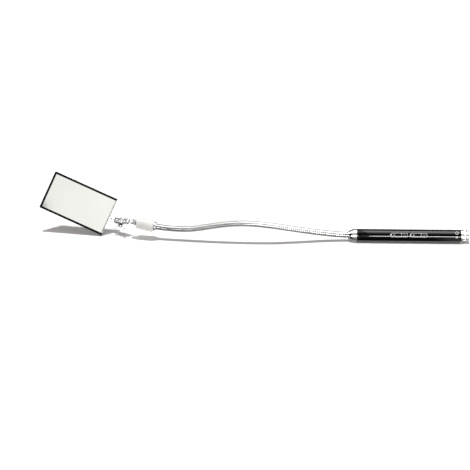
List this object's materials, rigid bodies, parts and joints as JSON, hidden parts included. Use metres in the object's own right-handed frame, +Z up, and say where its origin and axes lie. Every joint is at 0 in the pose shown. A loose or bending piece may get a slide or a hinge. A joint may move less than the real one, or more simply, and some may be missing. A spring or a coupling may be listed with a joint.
{
  "type": "lighted inspection mirror",
  "caption": "Small framed mirror on a double ball clamp with a lamp, on a flexible metal neck with a slim battery handle.",
  "frame": {"origin": "on the handle's axis at the middle of the barrel", "axes": "+X along the handle towards the tail cap, +Z up from the surface the tool lies on, the mirror end towards -X"},
  "size_m": [0.4413, 0.0449, 0.0605],
  "materials": {
    "black_barrel": "glossy black enamel on brass tube",
    "satin_metal": "satin nickel",
    "chrome": "bright chrome plating",
    "neck_steel": "chromed wound steel",
    "contact_brass": "plain brass",
    "liner_paper": "waxed paper tube",
    "insulator": "moulded plastic",
    "lead_insulation": "red wire insulation",
    "cell_can": null,
    "seal_rubber": "black rubber",
    "spring_steel": "drawn wire",
    "hood_plastic": "translucent white plastic",
    "lamp_plastic": "white plastic",
    "led_clear": "clear epoxy",
    "tinned_wire": "tinned wire",
    "mirror_silver": "silvered glass",
    "frame_black": "glossy black",
    "back_metal": "rolled sheet",
    "pad_foam": "adhesive foam"
  },
  "bodies": {
    "handle": {"barrel": "black_barrel", "front_ring": "satin_metal", "rear_collar": "chrome", "neck_end_rear": "neck_steel", "battery_liner": "liner_paper", "contact_holder": "insulator", "front_contact": "contact_brass", "rear_lead": "lead_insulation", "battery_front": "cell_can", "battery_rear": "cell_can"},
    "tail_seal": {"tail_o_ring": "seal_rubber", "tail_contact": "contact_brass", "battery_spring": "spring_steel"},
    "tail_cap": {"tail_cap": "satin_metal"},
    "neck_01": {"neck_01": "neck_steel"},
    "neck_02": {"neck_02": "neck_steel"},
    "neck_03": {"neck_03": "neck_steel"},
    "neck_04": {"neck_04": "neck_steel"},
    "neck_05": {"neck_05": "neck_steel"},
    "neck_06": {"neck_06": "neck_steel"},
    "neck_07": {"neck_07": "neck_steel"},
    "neck_08": {"neck_08": "neck_steel"},
    "neck_09": {"neck_09": "neck_steel"},
    "neck_10": {"neck_10": "neck_steel"},
    "neck_11": {"neck_11": "neck_steel"},
    "neck_12": {"neck_12": "neck_steel"},
    "neck_13": {"neck_13": "neck_steel"},
    "neck_14": {"neck_14": "neck_steel"},
    "neck_15": {"neck_15": "neck_steel"},
    "neck_16": {"neck_16": "neck_steel"},
    "neck_17": {"neck_17": "neck_steel"},
    "lamp_head": {"neck_end_front": "neck_steel", "front_ferrule": "chrome", "lamp_body": "lamp_plastic", "lamp_hood": "hood_plastic", "led_lamp": "led_clear", "led_bezel": "chrome", "led_leads": "tinned_wire", "arm_rod": "chrome"},
    "arm_ball": {"arm_ball": "chrome"},
    "clamp": {"clamp_plate_upper": "chrome", "clamp_plate_lower": "chrome", "clamp_screw": "chrome"},
    "clamp_washer": {"clamp_washer": "chrome"},
    "wing_nut": {"wing_nut": "chrome"},
    "mirror_ball": {"mirror_ball": "chrome"},
    "mirror": {"mirror_stud": "chrome", "mirror_rivets": "satin_metal", "mirror_back": "back_metal", "mirror_pad": "pad_foam", "mirror_glass": "mirror_silver", "mirror_frame": "frame_black"}
  },
  "joints": [
    {"name": "neck_rear_pitch_1", "type": "hinge", "parent": "handle", "child": "neck_01", "pos_m": [-0.0633, 0, 0], "axis": [-0.0138, 0.9999, 0], "range_deg": [-15, 15]},
    {"name": "neck_rear_yaw_1", "type": "hinge", "parent": "neck_01", "child": "neck_02", "pos_m": [-0.07472, -0.00031, 0.0007], "axis": [0.0997, 0.0052, 0.995], "range_deg": [-15, 15]},
    {"name": "neck_rear_pitch_2", "type": "hinge", "parent": "neck_02", "child": "neck_03", "pos_m": [-0.08615, -0.00121, 0.0023], "axis": [-0.0962, 0.9954, 0], "range_deg": [-15, 15]},
    {"name": "neck_rear_yaw_2", "type": "hinge", "parent": "neck_03", "child": "neck_04", "pos_m": [-0.09757, -0.00252, 0.0042], "axis": [0.178, 0.0221, 0.9838], "range_deg": [-15, 15]},
    {"name": "neck_rear_pitch_3", "type": "hinge", "parent": "neck_04", "child": "neck_05", "pos_m": [-0.10899, -0.00405, 0.0065], "axis": [-0.1301, 0.9915, 0], "range_deg": [-15, 15]},
    {"name": "neck_rear_yaw_3", "type": "hinge", "parent": "neck_05", "child": "neck_06", "pos_m": [-0.12042, -0.00552, 0.0089], "axis": [0.1989, 0.0231, 0.9798], "range_deg": [-15, 15]},
    {"name": "neck_middle_pitch_1", "type": "hinge", "parent": "neck_06", "child": "neck_07", "pos_m": [-0.13184, -0.0067, 0.0112], "axis": [-0.081, 0.9967, 0], "range_deg": [-15, 15]},
    {"name": "neck_middle_yaw_1", "type": "hinge", "parent": "neck_07", "child": "neck_08", "pos_m": [-0.14327, -0.00738, 0.013], "axis": [0.1342, 0.0046, 0.9909], "range_deg": [-15, 15]},
    {"name": "neck_middle_pitch_2", "type": "hinge", "parent": "neck_08", "child": "neck_09", "pos_m": [-0.15469, -0.00749, 0.0143], "axis": [0.0019, 1, 0], "range_deg": [-15, 15]},
    {"name": "neck_middle_yaw_2", "type": "hinge", "parent": "neck_09", "child": "neck_10", "pos_m": [-0.16611, -0.00734, 0.0149], "axis": [0.0131, -0.0003, 0.9999], "range_deg": [-15, 15]},
    {"name": "neck_middle_pitch_3", "type": "hinge", "parent": "neck_10", "child": "neck_11", "pos_m": [-0.17753, -0.00702, 0.0146], "axis": [0.0355, 0.9994, 0], "range_deg": [-15, 15]},
    {"name": "neck_middle_yaw_3", "type": "hinge", "parent": "neck_11", "child": "neck_12", "pos_m": [-0.18896, -0.00652, 0.0133], "axis": [-0.1466, 0.0074, 0.9892], "range_deg": [-15, 15]},
    {"name": "neck_front_pitch_1", "type": "hinge", "parent": "neck_12", "child": "neck_13", "pos_m": [-0.20038, -0.00586, 0.0112], "axis": [0.0652, 0.9979, 0], "range_deg": [-15, 15]},
    {"name": "neck_front_yaw_1", "type": "hinge", "parent": "neck_13", "child": "neck_14", "pos_m": [-0.21181, -0.00503, 0.0088], "axis": [-0.1879, 0.0151, 0.9821], "range_deg": [-15, 15]},
    {"name": "neck_front_pitch_2", "type": "hinge", "parent": "neck_14", "child": "neck_15", "pos_m": [-0.22323, -0.00403, 0.0068], "axis": [0.0948, 0.9955, 0], "range_deg": [-15, 15]},
    {"name": "neck_front_yaw_2", "type": "hinge", "parent": "neck_15", "child": "neck_16", "pos_m": [-0.23465, -0.00286, 0.0061], "axis": [-0.0259, 0.0029, 0.9997], "range_deg": [-15, 15]},
    {"name": "neck_front_pitch_3", "type": "hinge", "parent": "neck_16", "child": "neck_17", "pos_m": [-0.24608, -0.00151, 0.0062], "axis": [0.124, 0.9923, 0], "range_deg": [-15, 15]},
    {"name": "neck_front_yaw_3", "type": "hinge", "parent": "neck_17", "child": "lamp_head", "pos_m": [-0.2575, 0, 0.007], "axis": [0.0971, -0.0146, 0.9952], "range_deg": [-15, 15]},
    {"name": "arm_ball_spin", "type": "hinge", "parent": "lamp_head", "child": "arm_ball", "pos_m": [-0.2887, 0.00782, 0.00934], "axis": [-0.9783, 0.1637, 0.1271], "continuous": true},
    {"name": "arm_ball_swing", "type": "hinge", "parent": "arm_ball", "child": "clamp", "pos_m": [-0.2887, 0.00782, 0.00934], "axis": [0.2614, 0.7084, 0.6556], "range_deg": [-30, 75]},
    {"name": "mirror_ball_swing", "type": "hinge", "parent": "clamp", "child": "mirror_ball", "pos_m": [-0.29979, 0.01375, 0.00735], "axis": [0.2614, 0.7084, 0.6556], "range_deg": [-85, 20]},
    {"name": "mirror_ball_spin", "type": "hinge", "parent": "mirror_ball", "child": "mirror", "pos_m": [-0.29979, 0.01375, 0.00735], "axis": [0.915, -0.1705, -0.3657], "continuous": true},
    {"name": "wing_nut_travel", "type": "slide", "parent": "clamp", "child": "clamp_washer", "axis": [-0.2614, -0.7084, -0.6556], "range_m": [0, 0.001]},
    {"name": "wing_nut_turn", "type": "hinge", "parent": "clamp_washer", "child": "wing_nut", "pos_m": [-0.29424, 0.01078, 0.00835], "axis": [-0.2614, -0.7084, -0.6556], "range_deg": [0, 720]},
    {"name": "tail_cap_travel", "type": "slide", "parent": "handle", "child": "tail_seal", "axis": [1, 0, 0], "range_m": [0, 0.005]},
    {"name": "tail_cap_turn", "type": "hinge", "parent": "tail_seal", "child": "tail_cap", "pos_m": [0.056, 0, 0], "axis": [1, 0, 0], "range_deg": [0, 1440]}
  ],
  "couplings": [
    {"joint": "neck_rear_pitch_2", "follows": "neck_rear_pitch_1", "ratio": 1},
    {"joint": "neck_rear_yaw_2", "follows": "neck_rear_yaw_1", "ratio": 1},
    {"joint": "neck_rear_pitch_3", "follows": "neck_rear_pitch_1", "ratio": 1},
    {"joint": "neck_rear_yaw_3", "follows": "neck_rear_yaw_1", "ratio": 1},
    {"joint": "neck_middle_pitch_2", "follows": "neck_middle_pitch_1", "ratio": 1},
    {"joint": "neck_middle_yaw_2", "follows": "neck_middle_yaw_1", "ratio": 1},
    {"joint": "neck_middle_pitch_3", "follows": "neck_middle_pitch_1", "ratio": 1},
    {"joint": "neck_middle_yaw_3", "follows": "neck_middle_yaw_1", "ratio": 1},
    {"joint": "neck_front_pitch_2", "follows": "neck_front_pitch_1", "ratio": 1},
    {"joint": "neck_front_yaw_2", "follows": "neck_front_yaw_1", "ratio": 1},
    {"joint": "neck_front_pitch_3", "follows": "neck_front_pitch_1", "ratio": 1},
    {"joint": "neck_front_yaw_3", "follows": "neck_front_yaw_1", "ratio": 1},
    {"joint": "wing_nut_turn", "follows": "wing_nut_travel", "rad_per_m": 12566},
    {"joint": "tail_cap_turn", "follows": "tail_cap_travel", "rad_per_m": 5026.5}
  ]
}
